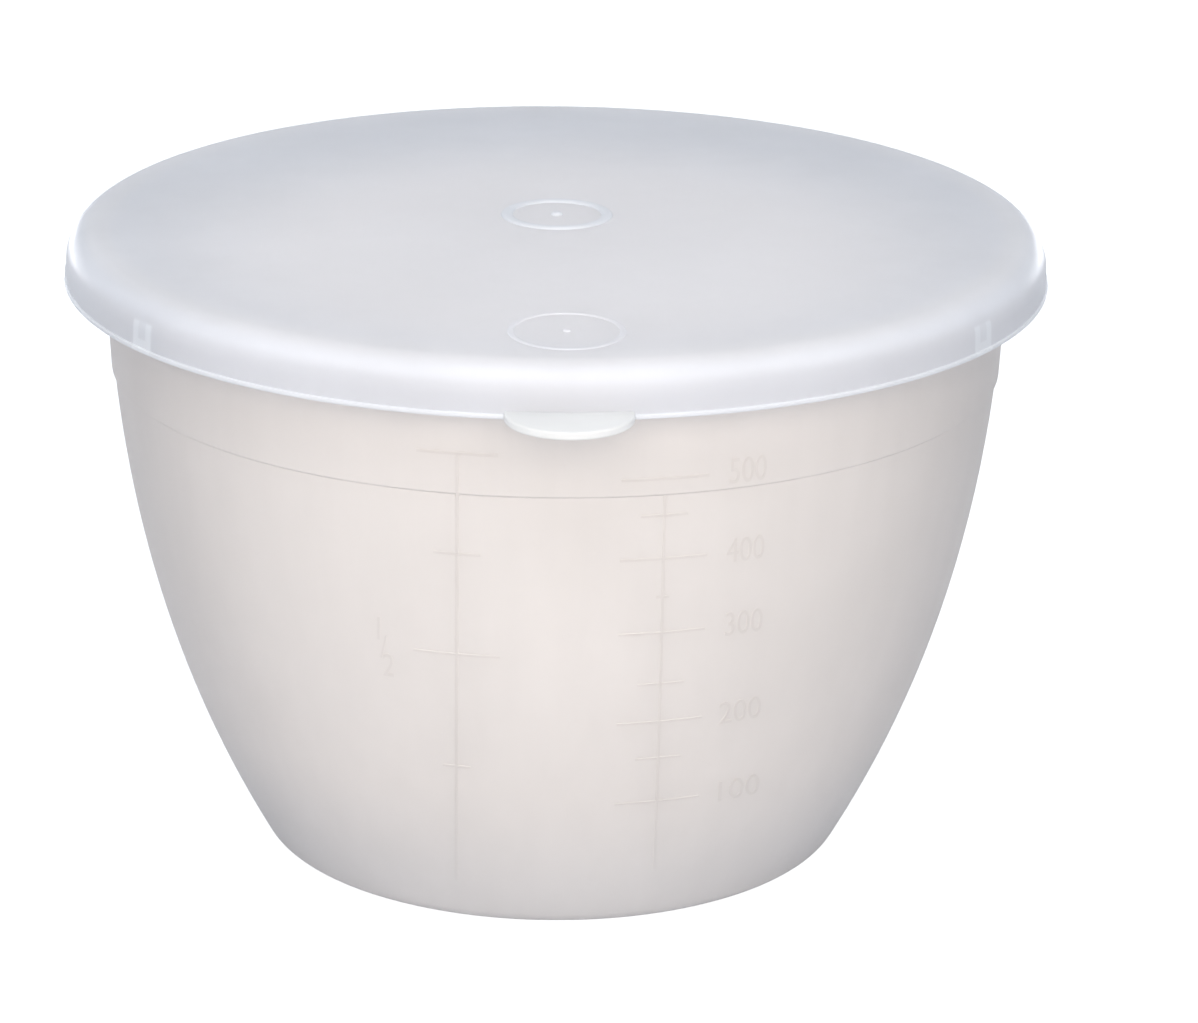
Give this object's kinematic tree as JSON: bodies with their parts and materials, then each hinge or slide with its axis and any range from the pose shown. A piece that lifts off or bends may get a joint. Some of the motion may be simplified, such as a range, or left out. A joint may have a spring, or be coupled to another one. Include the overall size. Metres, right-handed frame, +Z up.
{
  "type": "pudding basin",
  "caption": "Translucent plastic pudding basin with a curved wall, a collar under its outward rim and a push-on lid with a lifting tab.",
  "frame": {"origin": "middle of the flat underside of the basin's foot, where the basin stands on a table", "axes": "+Z up, out of the basin's mouth and along the axis both pieces are turned about; the lid's lifting tab points along -Y"},
  "size_m": [0.127, 0.1346, 0.0838],
  "materials": {
    "basin_plastic": "translucent frosted polypropylene, satin",
    "lid_plastic": "translucent frosted polypropylene, satin"
  },
  "bodies": {
    "basin": {"basin": "basin_plastic"},
    "lid": {"lid": "lid_plastic"}
  },
  "joints": [
    {"name": "lid_lift", "type": "slide", "parent": "basin", "child": "lid", "axis": [0, 0, 1], "range_m": [0, 0.06]}
  ]
}
